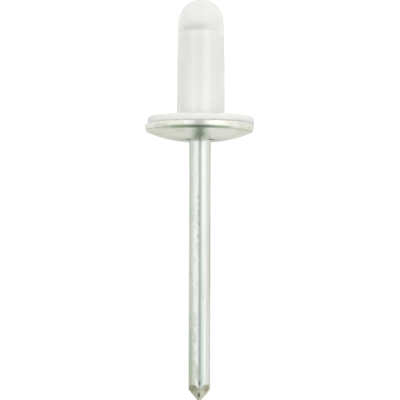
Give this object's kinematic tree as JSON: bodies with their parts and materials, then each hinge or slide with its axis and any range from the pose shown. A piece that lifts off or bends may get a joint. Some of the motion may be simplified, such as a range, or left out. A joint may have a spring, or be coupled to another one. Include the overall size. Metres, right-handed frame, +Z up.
{
  "type": "blind rivet with sealing cap",
  "caption": "Large-flange blind rivet: plated steel shell and mandrel with a four-sided point, under a translucent moulded cap that seals the hole.",
  "frame": {"origin": "on the surface it lies on, under the middle of the lying rivet's outline", "axes": "+Z up; the rivet's axis lies in the YZ plane, with the capped blind end towards +Y and slightly raised, and the mandrel's point towards -Y on the surface"},
  "size_m": [0.023, 0.0832, 0.0226],
  "materials": {
    "cap_plastic": "satin, milky and slightly translucent",
    "shell_zinc": "zinc plated, satin",
    "mandrel_zinc": "zinc plated, bright, drawn lengthwise"
  },
  "bodies": {
    "root": {"sealing_cap": "cap_plastic", "rivet_shell": "shell_zinc", "mandrel": "mandrel_zinc"}
  },
  "joints": []
}
